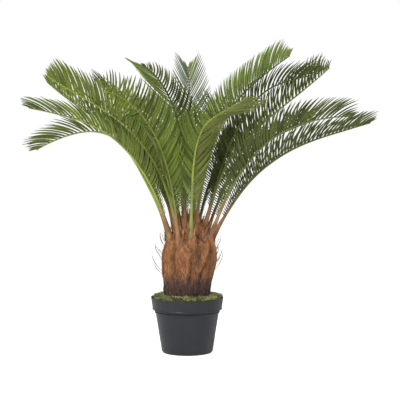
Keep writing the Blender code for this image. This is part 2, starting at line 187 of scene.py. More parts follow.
# Leaflets, in pairs along the blade: close at its foot and tip, further apart between them
FOOT_PITCH = 0.0056
WIDE_PITCH = 0.01
TIP_PITCH = 0.0066
PITCH_GROWS = (0.18, 0.74)
PITCH_FADES = (0.86, 1.0)
LEAFLET_LENGTH = 0.086
LEAFLET_WIDTH = 0.0047
FOOT_WIDTH_SHARE = 0.66
SHORT_WIDTH_SHARE = 0.6
LEAFLET_THICK = 0.0008
LEAFLET_CREASE = 0.72
LEAFLET_TWIST = 0.14
# Where leaflets grow to full length, where they shorten to the tip, and by what share
GROW_SPAN = (-0.14, 0.46)
FADE_SPAN = (0.85, 1.0)
FADE_SHARE = 0.72
SPREAD_EASE = 1.5
# Places in FRONDS, from 0. The leaflets of these stand closer: the share of the pitch that is left
CLOSE_FRONDS = {10: 0.84, 13: 0.84, 17: 0.68}
# The lower leaflets of these lie closer to the rib, and are longer, so that they reach as wide:
# the share of the angle to the rib that is left, and where it grows back
STEEP_FRONDS = {14: 0.7, 15: 0.74, 16: 0.64}
STEEP_FADES = (0.4, 0.85)
# Stations along a leaflet, and its width there as a share of its widest
LEAFLET_STATIONS = np.array((0.0, 0.07, 0.17, 0.33, 0.52, 0.7, 0.85, 0.94))
LEAFLET_WIDTHS = np.array((0.66, 0.8, 0.94, 1.0, 0.97, 0.8, 0.53, 0.29))

# Colours, each as the light and the dark of a mottle
# Greens of the leaflets. shade is a darker copy of deep, put on rows that stand in shade: painted
# shade. pale is a lighter green, put on lit rows and on a row that shows a sheen: painted light and
# painted sheen.
LEAF_TINTS = {
    "deep": ((0.12, 0.15, 0.03), (0.064, 0.086, 0.016)),
    "mid": ((0.184, 0.229, 0.038), (0.106, 0.142, 0.023)),
    "fresh": ((0.205, 0.287, 0.041), (0.14, 0.208, 0.028)),
    "olive": ((0.205, 0.227, 0.051), (0.122, 0.142, 0.033)),
    "pale": ((0.27, 0.345, 0.11), (0.2, 0.265, 0.075)),
    "grey": ((0.168, 0.214, 0.156), (0.098, 0.134, 0.094)),
    "shade": ((0.074, 0.091, 0.02), (0.04, 0.052, 0.013)),
}
# The second green of a row, and the share of its leaflets that have it. It is mostly a darker green,
# dealt at random: random tone that is partly painted shade.
SECOND_TINT = {"deep": "shade", "mid": "deep", "fresh": "deep", "olive": "mid", "grey": "mid",
               "pale": "fresh", "shade": "deep"}
SECOND_SHARE = 0.32
# Greens of the ribs and stalks. dull is a darker copy of bright; on the fronds in deep and shade it is
# painted shade.
RIB_TINTS = {
    "bright": ((0.36, 0.41, 0.085), (0.24, 0.3, 0.055)),
    "dull": ((0.17, 0.19, 0.04), (0.1, 0.125, 0.026)),
}
STALK_GREENS = {**RIB_TINTS, "front": ((0.27, 0.32, 0.07), (0.17, 0.22, 0.045))}
STALK_BROWNS = ((0.43, 0.245, 0.105), (0.24, 0.118, 0.05))
STALK_STREAK = (0.62, 0.54, 0.48)
COIR_UPPER = ((0.5, 0.222, 0.087), (0.27, 0.11, 0.048))
COIR_LOWER = ((0.145, 0.096, 0.086), (0.058, 0.039, 0.038))
COIR_TURNS = (0.168, 0.194)
COIR_STREAK = (0.48, 0.42, 0.38)
# Browns of the fibres. dark goes in the creases, as painted shade, and below the sheet's edge; pale
# goes on what stands proud, as a painted highlight, and on a share picked at random.
FIBRE_TINTS = {
    "pale": ((0.6, 0.32, 0.14), (0.45, 0.22, 0.088)),
    "copper": ((0.42, 0.188, 0.074), (0.285, 0.118, 0.05)),
    "dark": ((0.124, 0.074, 0.059), (0.068, 0.044, 0.038)),
    "wisp": ((0.24, 0.145, 0.085), (0.13, 0.08, 0.05)),
}
SCALE_TINTS = {
    "scale": ((0.48, 0.25, 0.115), (0.2, 0.09, 0.044)),
    "boot": ((0.2, 0.1, 0.055), (0.085, 0.04, 0.026)),
}
MOSS_TINTS = {
    "bright": ((0.64, 0.62, 0.27), (0.36, 0.38, 0.13)),
    "green": ((0.13, 0.19, 0.06), (0.06, 0.095, 0.03)),
    "soil": ((0.24, 0.17, 0.115), (0.11, 0.075, 0.052)),
    "shade": ((0.17, 0.18, 0.05), (0.045, 0.048, 0.024)),
}
POT_TINTS = ((0.0165, 0.0187, 0.0236), (0.0132, 0.015, 0.0196))
CEMENT_TINTS = ((0.46, 0.44, 0.4), (0.3, 0.29, 0.27))
FLOOR_TINTS = ((0.9,) * 3, (0.87,) * 3)

# Finishes: roughness, specular, scales of mottle and grain, and strength and depth of the grain
LEAF_FINISH = (0.45, 0.25, 18.0, 900.0, 0.15, 0.0004)
RIB_FINISH = (0.45, 0.3, 30.0, 900.0, 0.15, 0.0004)
FIBRE_FINISH = (0.75, 0.3, 120.0, 1500.0, 0.2, 0.0003)
SCALE_FINISH = (0.75, 0.3, 70.0, 1200.0, 0.4, 0.0006)
MOSS_FINISH = (0.9, 0.2, 130.0, 1400.0, 0.6, 0.001)
POT_FINISH = (0.36, 0.45, 22.0, 1600.0, 0.1, 0.0004)
CEMENT_FINISH = (0.95, 0.2, 90.0, 900.0, 0.5, 0.001)

# Light of the room on the plant, and the floor's own glow that keeps it white
ROOM_LIGHT = 0.42
FLOOR_GLOW = 0.7
# Lamps: where each stands, what it points at, its size and its power
LAMPS = {
    "key_lamp": ((-1.3, -1.9, 2.3), (0.0, 0.0, 0.4), 1.1, 86),
    "fill_lamp": ((1.9, -1.4, 1.2), (0.0, 0.0, 0.35), 1.6, 12),
}


# Numbers

def ease(start, end, t):
    """0 up to the start, 1 from the end on, and a smooth step between."""
    u = np.clip((t - start) / (end - start), 0.0, 1.0)
    return u * u * (3 - 2 * u)


def smooth_value(values, t):
    """Evenly spaced values joined by a smooth curve, read at each t from 0 to 1."""
    values = np.asarray(values, float)
    last = len(values) - 1
    i = np.minimum((t * last).astype(int), last - 1)
    u = t * last - i
    b = values[i]
    c = values[i + 1]
    a = np.where(i > 0, values[np.maximum(i - 1, 0)], 2 * b - c)
    d = np.where(i + 2 <= last, values[np.minimum(i + 2, last)], 2 * c - b)
    bend = 2 * a - 5 * b + 4 * c - d
    twist = 3 * (b - c) + d - a
    return b + 0.5 * u * (c - a + u * (bend + u * twist))


def unit(vectors):
    return vectors / np.linalg.norm(vectors, axis=-1, keepdims=True)


def wave(x, y, z):
    """Smooth noise from about -1 to 1."""
    return noise.noise(Vector((x, y, z)))


def outwards(angle):
    """The level way out from the axis at an angle, and the way across it."""
    out = Vector((cos(angle), sin(angle), 0.0))
    return out, Vector((-out.y, out.x, 0.0))


# Meshes

class Pile:
    """Loose shapes that are joined into one mesh."""

    def __init__(self):
        self.points = []
        self.faces = []
        self.count = 0

    def add(self, points, faces):
        self.points.append(points)
        self.faces += [tuple(i + self.count for i in face) for face in faces]
        self.count += len(points)

    def build(self, name, material):
        mesh = bpy.data.meshes.new(name)
        mesh.from_pydata(np.concatenate(self.points).tolist(), [], self.faces)
        mesh.materials.append(material)
        mesh.shade_smooth()
        mesh.set_sharp_from_angle(angle=radians(50))
        return linked(name, mesh)


def linked(name, data):
    """A new object of the scene."""
    made = bpy.data.objects.new(name, data)
    bpy.context.scene.collection.objects.link(made)
    return made


def tube_faces(rings, sides):
    """Faces of a tube closed at both ends, whose rings follow each other."""
    faces = [tuple(reversed(range(sides)))]
    for k in range(rings - 1):
        for i in range(sides):
            j = (i + 1) % sides
            faces.append((k * sides + i, k * sides + j, (k + 1) * sides + j, (k + 1) * sides + i))
    faces.append(tuple((rings - 1) * sides + i for i in range(sides)))
    return faces


def pointed_faces(rings, sides):
    """Faces of a tube whose last ring is drawn to one point, the last of its vertices."""
    last = (rings - 1) * sides
    tip = [(last + i, last + (i + 1) % sides, last + sides) for i in range(sides)]
    return tube_faces(rings, sides)[:-1] + tip


def round_section(sides, ridge):
    """Corners of a round section, with its upper side drawn out to a ridge."""
    corners = []
    for i in range(sides):
        angle = 2 * pi * (i + 0.5) / sides
        swell = 1 + ridge * max(0.0, sin(angle)) ** 3
        corners.append((swell * cos(angle), swell * sin(angle)))
    return np.asarray(corners)


def add_tube(pile, centres, rights, ups, radii, sides, ridge=0.0):
    """A tube round a line of centres, with its own radius at each."""
    section = round_section(sides, ridge)
    across = section[None, :, 0, None] * rights[:, None, :]
    along = section[None, :, 1, None] * ups[:, None, :]
    rings = centres[:, None, :] + radii[:, None, None] * (across + along)
    pile.add(rings.reshape(-1, 3), tube_faces(len(centres), sides))


def add_strand(pile, path, radius):
    """A thin fibre along a path of points, thickest in its middle."""
    path = np.asarray(path, float)
    ways = unit(np.gradient(path, axis=0))
    rights = unit(np.cross(ways, (0.31, 0.87, 0.39)))
    swell = np.sin(pi * np.clip(np.linspace(0, 1, len(path)) * 0.9 + 0.08, 0, 1))
    radii = radius * (0.25 + 0.75 * swell)
    add_tube(pile, path, rights, np.cross(rights, ways), radii, 3)


def add_blade(pile, line, side, top, half, crease, thick):
    """A thin blade along a line of points, creased along its middle and pointed at its end."""
    middle = line[:-1]
    rings = np.stack((
        middle + side * half - top * crease,
        middle + top * thick,
        middle - side * half - top * crease,
        middle - top * thick,
    ), axis=1)
    pile.add(np.concatenate((rings.reshape(-1, 3), line[-1:])), BLADE_FACES)


BLADE_SHARES = np.append(LEAFLET_STATIONS, 1.0)[:, None]
BLADE_FACES = pointed_faces(len(LEAFLET_STATIONS), 4)


# Fronds

Curve = namedtuple("Curve", "shares points ways side roll")


def trunk_shift(height):
    return TRUNK_LEAN * (height - TRUNK_LEAN_FROM)


def frond_ways(frond, shares):
    leans = np.radians(smooth_value(frond.leans, shares))
    heading = radians(frond.heading)
    flat = np.sin(leans)
    return np.stack((flat * cos(heading), flat * sin(heading), np.cos(leans)), axis=-1)


def frond_curve(frond):
    """The rib walked from its foot inside the trunk to its tip."""
    radius, height = TIERS[frond.tier]
    seat = radians(frond.seat)
    heading = radians(frond.heading)
    foot = np.array((trunk_shift(height) + radius * cos(seat), radius * sin(seat), height))
    shares = np.linspace(0, 1, CURVE_STEPS + 1)
    middles = 0.5 * (shares[1:] + shares[:-1])
    walked = np.cumsum(frond_ways(frond, middles), axis=0) * frond.length / CURVE_STEPS
    points = foot + np.concatenate((np.zeros((1, 3)), walked))
    side = np.array((-sin(heading), cos(heading), 0.0))
    return Curve(shares, points, frond_ways(frond, shares), side, radians(frond.roll))


def read_curve(curve, t):
    """Points, ways, sides and ups of the rib at shares t of its length."""
    points, ways = (np.stack([np.interp(t, curve.shares, line[:, i]) for i in range(3)], axis=-1)
                    for line in (curve.points, curve.ways))
    ways = unit(ways)
    sides = cos(curve.roll) * curve.side + sin(curve.roll) * np.cross(ways, curve.side)
    return points, ways, sides, np.cross(ways, sides)


def rib_radius(t):
    u = (t - BARE_SHARE) / (1 - BARE_SHARE)
    stalk = STALK_RADIUS + (BLADE_FOOT_RADIUS - STALK_RADIUS) * t / BARE_SHARE
    blade = BLADE_FOOT_RADIUS + (RIB_TIP_RADIUS - BLADE_FOOT_RADIUS) * np.maximum(u, 0.0) ** 0.8
    return np.where(t < BARE_SHARE, stalk, blade)


def leaflet_shares(number):
    """Shares of a frond's blade at which its leaflet pairs grow."""
    blade = (1 - BARE_SHARE) * FRONDS[number].length
    shares = []
    u = 0.004
    while u < 0.997:
        shares.append(u)
        pitch = FOOT_PITCH + (WIDE_PITCH - FOOT_PITCH) * ease(*PITCH_GROWS, u)
        pitch += (TIP_PITCH - WIDE_PITCH) * ease(*PITCH_FADES, u)
        u += pitch * CLOSE_FRONDS.get(number, 1.0) / blade
    return np.array(shares)


def leaflet_sizes(number, u):
    """Lengths, widths and angles to the rib of the leaflets at shares u of a blade."""
    lengths = LEAFLET_LENGTH * ease(*GROW_SPAN, u) * (1 - FADE_SHARE * ease(*FADE_SPAN, u))
    widths = LEAFLET_WIDTH * (FOOT_WIDTH_SHARE + (1 - FOOT_WIDTH_SHARE) * ease(0.0, 0.2, u))
    widths *= SHORT_WIDTH_SHARE + (1 - SHORT_WIDTH_SHARE) * lengths / LEAFLET_LENGTH
    foot_spread, tip_spread = FRONDS[number].spreads
    wide = foot_spread + (tip_spread - foot_spread) * u ** SPREAD_EASE
    spreads = wide * (1 - (1 - STEEP_FRONDS.get(number, 1.0)) * (1 - ease(*STEEP_FADES, u)))
    return lengths * np.sin(np.radians(wide)) / np.sin(np.radians(spreads)), widths, spreads


def add_leaflet(pile, root, way, out, up, spread, length, width, rng):
    """One leaflet: it leaves the rib towards out, curves back to it and bows a little."""
    direction = out * sin(spread) + way * cos(spread)
    across = way - direction * way.dot(direction)
    across.normalize()
    normal = direction.cross(across)
    if normal.dot(up) < 0:
        normal.negate()
    sickle = rng.uniform(0.03, 0.06) * length
    arch = rng.uniform(0.02, 0.05) * length
    roll = rng.gauss(0, LEAFLET_TWIST)
    side = np.array(across * cos(roll) + normal * sin(roll))
    top = np.array(normal * cos(roll) - across * sin(roll))
    root, direction, across, normal = (np.array(v) for v in (root, direction, across, normal))
    s = BLADE_SHARES
    hump = 4 * s * (1 - s)
    line = root + direction * (length * s) - across * (sickle * hump) + normal * (arch * hump)
    half = 0.5 * width * LEAFLET_WIDTHS[:, None]
    thick = 0.5 * LEAFLET_THICK * (1.5 - 0.9 * s[:-1])
    add_blade(pile, line, side, top, half, LEAFLET_CREASE * half, thick)


def add_leaflets(piles, number, curve, rng):
    """Both leaflet rows of a frond, with some leaflets in the second green of their row."""
    frond = FRONDS[number]
    u = leaflet_shares(number)
    t = BARE_SHARE + (1 - BARE_SHARE) * u
    points, ways, sides, ups = read_curve(curve, t)
    radii = rib_radius(t)
    lengths, widths, spreads = leaflet_sizes(number, u)
    for k in range(len(u)):
        way = Vector(ways[k])
        up = Vector(ups[k])
        for hand, tint in zip((1, -1), frond.tints):
            fold = radians(frond.fold + rng.gauss(0, 1.2))
            spread = radians(spreads[k] + rng.gauss(0, 1.0))
            out = Vector(sides[k]) * (hand * cos(fold)) + up * sin(fold)
            root = Vector(points[k]) + Vector(sides[k]) * (0.45 * hand * radii[k])
            root += up * (0.35 * radii[k]) + way * rng.uniform(-0.0004, 0.0004)
            # Some leaflets take their row's second green, mostly a darker one: partly painted shade.
            if rng.random() < SECOND_SHARE:
                tint = SECOND_TINT[tint]
            length = lengths[k] * rng.uniform(0.96, 1.03)
            add_leaflet(piles[tint], root, way, out, up, spread, length, widths[k], rng)


def add_rib(pile, curve):
    """The rib of the blade, ridged along its upper side."""
    overlap = 0.01
    t = np.linspace(STALK_SHARE - overlap, 1.0, num=48)
    points, ways, sides, ups = read_curve(curve, t)
    add_tube(pile, points, sides, ups, rib_radius(t), sides=8, ridge=0.25)


def add_stalk(pile, curve):
    """The stalk, from inside the trunk to the lower blade, stout at its foot."""
    t = np.linspace(0.0, STALK_SHARE, num=24)
    points, ways, sides, ups = read_curve(curve, t)
    radii = rib_radius(t) * (1 + 0.45 * (1 - ease(0.05, 1.1 * BARE_SHARE, t)))
    add_tube(pile, points, sides, ups, radii, sides=12, ridge=0.1)


def build_fronds():
    """Joined leaflets of each green, then the ribs and the stalks."""
    piles = {tint: Pile() for tint in LEAF_TINTS}
    nodes = {tint: [] for tint in LEAF_TINTS}
    ribs = {tone: Pile() for tone in RIB_TINTS}
    stalks = {tone: Pile() for tone in STALK_TURNS}
    for number, frond in enumerate(FRONDS):
        curve = frond_curve(frond)
        for tint in sorted({t for first in frond.tints for t in (first, SECOND_TINT[first])}):
            nodes[tint].append(FROND_NODES[number])
        add_leaflets(piles, number, curve, random.Random(100 + number))
        # Fronds whose second row is not mid, fresh or olive get dull ribs and stalks: painted shade on
        # the fronds in deep and shade.
        tone = "bright" if frond.tints[1] in ("mid", "fresh", "olive") else "dull"
        add_rib(ribs[tone], curve)
        add_stalk(stalks["front" if number == FRONT_FROND else tone], curve)
    for tint, pile in piles.items():
        green = mottled(f"leaf_{tint}", LEAF_TINTS[tint], LEAF_FINISH)
        settle(pile.build(f"leaflets_{tint}", green), "leaf", *nodes[tint])
    for tone, pile in ribs.items():
        green = mottled(f"rib_{tone}", RIB_TINTS[tone], RIB_FINISH)
        settle(pile.build(f"frond_ribs_{tone}", green), "leaf", *FROND_NODES)
    for tone, pile in stalks.items():
        settle(pile.build(f"frond_stalks_{tone}", stalk_material(tone)), "leaf", *FROND_NODES)


# Trunk

SIDE_RADII, SIDE_HEIGHTS = np.array(TRUNK_SIDE).T
SIDE_STEPS = np.hypot(np.diff(SIDE_RADII), np.diff(SIDE_HEIGHTS))
SIDE_WALKED = np.concatenate(((0.0,), np.cumsum(SIDE_STEPS)))
SIDE_LENGTH = SIDE_WALKED[-1]
# The ridges of the wrap, and one more under each outer stalk
ALL_RIDGES = RIDGES + tuple((frond.seat, 0.268, frond.seat + 2, 0.212, 9.0, 0.002)
                            for frond in FRONDS if frond.tier == "outer")


def coir_wave(kind, angle, height):
    """One kind of noise on the wrap. It meets itself round the barrel."""
    size, around, upwards, x, y, z = COIR_WAVES[kind]
    return size * wave(around * cos(angle) + x, around * sin(angle) + y,
                       upwards * height + z)


def coir_fold(angle, height):
    """How far the wrap stands on a lobe, from 0 in a deep crease to 1 on its crown."""
    turn = degrees(angle) + coir_wave("sway", angle, height)
    turn = (turn - CREASES[0]) % 360 + CREASES[0]
    k = max(i for i, crease in enumerate(CREASES[:-1]) if crease <= turn)
    share = (turn - CREASES[k]) / (CREASES[k + 1] - CREASES[k])
    return sin(pi * share) ** 0.48


def coir_ridges(angle, height):
    """Lift of the ridges that run down the wrap, and of those under the outer stalks."""
    lift = 0.0
    # Shares of a ridge's height between which it grows, is full, fades and ends
    first, full, fades, last = -0.2, 0.2, 0.9, 1.2
    # Trough beside it: place and half width in widths of the ridge, and share of its lift
    beside, narrow, depth = 1.9, 0.9, 0.75
    for upper, high, lower, low, width, rise in ALL_RIDGES:
        share = (height - low) / (high - low)
        if first < share < last:
            centre = lower + (upper - lower) * share
            off = (degrees(angle) - centre + 180) % 360 - 180
            if abs(off) < 5 * width:
                ends = float(ease(first, full, share) * (1 - ease(fades, last, share)))
                trough = exp(-((off - beside * width) / (narrow * width)) ** 2)
                lift += ends * (rise * exp(-(off / width) ** 2) - depth * abs(rise) * trough)
    return lift


def coir_relief(angle, height):
    """Height of the coir's lobes, folds, creases and grain over the plain barrel."""
    crease = 1 - min(1.0, abs(coir_wave("crease", angle, height)) / 0.06)
    edge = SKIRT_EDGE + coir_wave("skirt", angle, height)
    sheet = float(ease(edge - 0.003, edge + 0.003, height))
    lobes = float(1 - 0.5 * ease(0.255, 0.285, height)) * LOBE_LIFT
    lobes *= coir_fold(angle, height) - 0.94
    wrap = lobes + coir_wave("fold", angle, height) - 0.002 * crease * crease
    wrap += coir_ridges(angle, height)
    bare = 0.35 * lobes - 0.0014 + coir_wave("lump", angle, height)
    lift = sheet * wrap + (1 - sheet) * bare + coir_wave("grain", angle, height)
    return lift + coir_wave("fibre", angle, height)


def barrel_radius(walked):
    return float(np.interp(walked, SIDE_WALKED, SIDE_RADII))


def barrel_height(walked):
    return float(np.interp(walked, SIDE_WALKED, SIDE_HEIGHTS))


def barrel_point(walked, angle, lift=0.0):
    """A point on the barrel: walked is the way up its side, and lift stands off its surface."""
    ahead = min(SIDE_LENGTH, walked + SLOPE_STEP)
    behind = max(0.0, walked - SLOPE_STEP)
    rise = barrel_height(ahead) - barrel_height(behind)
    grow = barrel_radius(ahead) - barrel_radius(behind)
    steep = hypot(rise, grow)
    swell = 1 + sum(size * cos(count * angle + turn) for count, size, turn in TRUNK_LOBES)
    radius = barrel_radius(walked) * swell + lift * rise / steep
    height = barrel_height(walked) - lift * grow / steep
    return (trunk_shift(height) + radius * cos(angle), radius * sin(angle), height)


def wrap_point(walked, angle, lift=0.0):
    """A point of the wrap's outer face, or lifted from it."""
    return barrel_point(walked, angle, coir_relief(angle, barrel_height(walked)) + lift)


def build_trunk():
    """The barrel's skin with the relief of its coir wrap."""
    points = []
    for row in range(TRUNK_ROWS):
        walked = SIDE_LENGTH * row / TRUNK_ROWS
        for column in range(TRUNK_COLUMNS):
            points.append(wrap_point(walked, 2 * pi * column / TRUNK_COLUMNS))
    points.append(barrel_point(SIDE_LENGTH, 0.0))
    pile = Pile()
    pile.add(np.array(points), pointed_faces(TRUNK_ROWS, TRUNK_COLUMNS))
    settle(pile.build("trunk_wrap", coir_material()), "coir", "trunk")


def fibre_tone(proud, height, rng):
    """Brown of a fibre by how proud the wrap is there, or none where it is left out: dark in a crease
    as painted shade, pale where it stands proud as a painted highlight.
    """
    if height < SKIRT_EDGE + rng.gauss(0, 0.008):
        if rng.random() < 0.5:
            return None
        return "copper" if rng.random() < LOW_COPPER_SHARE else "dark"
    # Painted shade: dark fibres in the creases. Painted highlight: pale fibres on what stands proud.
    if proud < PAINTED_SHADE_BELOW:
        return "dark"
    return "pale" if proud > PAINTED_HIGHLIGHT_ABOVE or rng.random() < PALE_SHARE else "copper"


def build_fibres():
    """Loose coir fibres lying on the wrap, in three browns, with painted shade in the creases and a
    painted highlight on what stands proud.
    """
    rng = random.Random(7)
    piles = {"pale": Pile(), "copper": Pile(), "dark": Pile()}
    steps = 6
    gap = 0.0001
    for _ in range(FIBRES):
        start = rng.uniform(0.0, 0.92) * SIDE_LENGTH
        angle = rng.uniform(0, 2 * pi)
        length = rng.uniform(0.018, 0.06)
        drift = rng.gauss(0, 0.35)
        bend = rng.gauss(0, 0.5)
        stand = rng.uniform(0.0001, 0.0012)
        path = []
        for k in range(steps + 1):
            share = k / steps
            walked = min(start + length * share, 0.985 * SIDE_LENGTH)
            turn = angle + (drift * share + bend * share * share) * length / 0.055
            lift = coir_relief(turn, barrel_height(walked)) + stand * sin(pi * share)
            path.append(barrel_point(walked, turn, lift + gap))
        height = path[steps // 2][2]
        proud = coir_relief(angle, height) + rng.gauss(0, 0.0007)
        tone = fibre_tone(proud, height, rng)
        if tone:
            add_strand(piles[tone], path, rng.uniform(0.00014, 0.00034))
    for tone, pile in piles.items():
        brown = mottled(f"coir_fibre_{tone}", FIBRE_TINTS[tone], FIBRE_FINISH)
        settle(pile.build(f"coir_fibres_{tone}", brown), "coir", "trunk")


def build_wisps():
    """Fibres that stand off the trunk, curving up and outwards."""
    rng = random.Random(21)
    pile = Pile()
    steps = 8
    root = 0.0005
    wisps = [(radians(turn), height, length, reach, 0.0011)
             for turn, height, length, reach in LONG_WISPS]
    for k in range(WISPS):
        angle = 2 * pi * k / WISPS + rng.uniform(-0.08, 0.08)
        height = barrel_height(rng.uniform(0.3, 0.74) * SIDE_LENGTH)
        length = rng.uniform(0.018, 0.04)
        reach = rng.uniform(0.35, 0.75)
        wisps.append((angle, height, length, reach, rng.uniform(0.0004, 0.0007)))
    for angle, height, length, reach, radius in wisps:
        walked = float(np.interp(height, SIDE_HEIGHTS, SIDE_WALKED))
        foot = Vector(barrel_point(walked, angle, coir_relief(angle, height) - root))
        outward, across = outwards(angle)
        sideways = across * rng.uniform(-0.4, 0.4)
        path = []
        for k in range(steps + 1):
            share = k / steps
            step = outward * (2 * reach * share - reach * share * share)
            path.append(foot + (step + sideways * share * share + Vector((0, 0, share))) * length)
        add_strand(pile, path, radius)
    brown = mottled("coir_fibre_wisp", FIBRE_TINTS["wisp"], FIBRE_FINISH)
    settle(pile.build("coir_wisps", brown), "coir", "trunk")


def add_scale(pile, foot, way, across, length, width, rng):
    """A torn brown scale: a few pointed strips from one foot, each of its own length."""
    out = way.cross(across).normalized()
    strips = rng.choice((3, 4, 5))
    share = LEAFLET_STATIONS[:, None]
    half = 0.5 * (width / strips * 1.5) * (1 - 0.75 * share ** 1.5)
    side = np.array(across)
    top = np.array(out)
    for k in range(strips):
        offset = (k + 0.5) / strips - 0.5
        reach = length * rng.uniform(0.55, 1.0) * (1 - 0.5 * abs(offset))
        root = foot + across * (offset * width)
        lean = way + across * (offset * 0.5) + out * rng.uniform(-0.1, 0.1)
        lean.normalize()
        bow = top * (rng.uniform(-0.08, 0.12) * reach)
        line = np.array(root) + np.array(lean) * (reach * BLADE_SHARES) + bow * BLADE_SHARES ** 2
        add_blade(pile, line, side, top, half, crease=0.3 * half, thick=0.0005)


def build_scales():
    """Brown scales that stand between the stalks on the barrel's shoulder."""
    rng = random.Random(33)
    pile = Pile()
    start, rise = 0.72, 0.24
    for k in range(SCALES):
        angle = SCALE_TURN * k
        walked = (start + rise * (k / SCALES)) * SIDE_LENGTH
        foot = Vector(wrap_point(walked, angle, lift=-0.001))
        outward, across = outwards(angle)
        way = (Vector((0, 0, 1)) + outward * rng.uniform(0.1, 0.45)).normalized()
        length = rng.uniform(0.016, 0.034)
        width = rng.uniform(0.006, 0.012)
        add_scale(pile, foot, way, across, length, width, rng)
    brown = mottled("sheath_scale", SCALE_TINTS["scale"], SCALE_FINISH)
    settle(pile.build("sheath_scales", brown), "coir", "trunk")


def sheath_line(frond, curve):
    """A smooth line from the wrap's shoulder to the stalk, upright at first."""
    seat = radians(frond.seat)
    points, ways, sides, ups = read_curve(curve, np.array((SHEATH_TOP,)))
    walked = float(np.interp(SHEATH_FOOT, SIDE_HEIGHTS, SIDE_WALKED))
    start = np.array(barrel_point(walked, seat, coir_relief(seat, SHEATH_FOOT) - SHEATH_DEPTH))
    reach = np.linalg.norm(points[0] - start)
    leave = np.array((0.0, 0.0, 1.0)) * reach
    s = np.linspace(0, 1, SHEATH_RINGS)[:, None]
    return ((2 * s ** 3 - 3 * s ** 2 + 1) * start + (s ** 3 - 2 * s ** 2 + s) * leave
            + (3 * s ** 2 - 2 * s ** 3) * points[0] + (s ** 3 - s ** 2) * (ways[0] * reach))


def build_sheaths():
    """Broad feet of the outer stalks, sunk into the coir, some with a torn boot around them."""
    rng = random.Random(17)
    sheaths = {"dull": Pile(), "front": Pile()}
    boots = Pile()
    share = np.linspace(0, 1, SHEATH_RINGS)
    foot_radius, top_radius = 0.0066, 0.005
    radii = foot_radius + (top_radius - foot_radius) * ease(0.1, 0.9, share)
    for k, frond in enumerate(FRONDS):
        if frond.tier != "outer":
            continue
        curve = frond_curve(frond)
        line = sheath_line(frond, curve)
        rights = np.repeat(curve.side[None, :], SHEATH_RINGS, axis=0)
        ups = np.cross(unit(np.gradient(line, axis=0)), rights)
        sheath = sheaths["front" if k == FRONT_FROND else "dull"]
        add_tube(sheath, line, rights, ups, radii, sides=10)
        if frond.seat not in BOOTED_SEATS:
            continue
        low = rng.choice((2, 3, 4))
        part = slice(low, low + rng.choice((5, 6, 7)))
        seat = radians(frond.seat)
        outward = np.array((cos(seat), sin(seat), 0.0))
        boot = line[part] + outward * (BOOT_PROUD + BOOT_PROUD * (1 - share[part, None]))
        add_tube(boots, boot, rights[part], ups[part], 0.82 * radii[part], sides=9)
    for tone, pile in sheaths.items():
        settle(pile.build(f"stalk_sheaths_{tone}", stalk_material(tone)), "coir", "trunk")
    brown = mottled("sheath_boot", SCALE_TINTS["boot"], SCALE_FINISH)
    settle(boots.build("stalk_boots", brown), "coir", "trunk")


# Moss and pot

def moss_height(radius, angle):
    """Top of the moss bed: humped between trunk and rim, in lumps."""
    inner = 0.0525
    share = (radius - inner) / (RIM_RADIUS - POT_WALL - inner)
    hump = 4 * share * (1 - share)
    x = radius * cos(angle)
    y = radius * sin(angle)
    lumps = wave(75 * x, 75 * y, 1.0) + 0.6 * wave(170 * x, 170 * y, 2.0)
    lumps *= 0.0038 * (1 - 0.75 * share ** 3)
    return MOSS_HIGH.z - 0.0055 + 0.005 * hump + 0.0045 * (1 - share) + lumps


def build_moss_bed():
    """Lumpy bed of moss in the mouth of the pot."""
    columns = 180
    rows = 14
    inner = 0.048
    outer = RIM_RADIUS - POT_WALL - MOSS_GAP
    low = MOSS_LOW.z + 0.002
    loops = [(inner + (outer - inner) * row / (rows - 1), None) for row in range(rows)]
    loops += [(outer - 0.003, low), (inner, low)]
    points = []
    faces = []
    for row, (radius, level) in enumerate(loops):
        start = row * columns
        follow = (row + 1) % len(loops) * columns
        for column in range(columns):
            angle = 2 * pi * column / columns
            height = moss_height(radius, angle) if level is None else level
            points.append((radius * cos(angle), radius * sin(angle), height))
            beside = (column + 1) % columns
            faces.append((start + column, follow + column, follow + beside, start + beside))
    bed = Pile()
    bed.add(np.array(points), faces)
    green = mottled("moss_shade", MOSS_TINTS["shade"], MOSS_FINISH)
    settle(bed.build("moss_bed", green), "moss", "moss")


def build_moss_sprigs():
    """Short sprigs that stand on the bed of moss, in patches of three colours."""
    rng = random.Random(55)
    piles = {"bright": Pile(), "green": Pile(), "soil": Pile()}
    inner = 0.0535
    outer = RIM_RADIUS - POT_WALL - MOSS_GAP - 0.004
    root = 0.0008
    for _ in range(SPRIGS):
        angle = rng.uniform(0, 2 * pi)
        radius = sqrt(rng.uniform(inner ** 2, outer ** 2))
        foot = Vector((radius * cos(angle), radius * sin(angle),
                       moss_height(radius, angle) - root))
        lean = Vector((rng.gauss(0, 0.7), rng.gauss(0, 0.7), 1.0)).normalized()
        curl = Vector((rng.gauss(0, 0.6), rng.gauss(0, 0.6), 0.0))
        length = rng.uniform(0.003, 0.0085)
        path = [foot + (lean * share + curl * share * share) * length
                for share in (0.0, 0.34, 0.67, 1.0)]
        patch = 0.8 * wave(90 * foot.x, 90 * foot.y, 5.0) + rng.gauss(0, 0.16)
        tone = "bright" if patch > BRIGHT_ABOVE else "green" if patch > GREEN_ABOVE else "soil"
        add_strand(piles[tone], path, rng.uniform(0.0003, 0.0008))
    for tone, pile in piles.items():
        green = mottled(f"moss_{tone}", MOSS_TINTS[tone], MOSS_FINISH)
        settle(pile.build(f"moss_sprigs_{tone}", green), "moss", "moss")


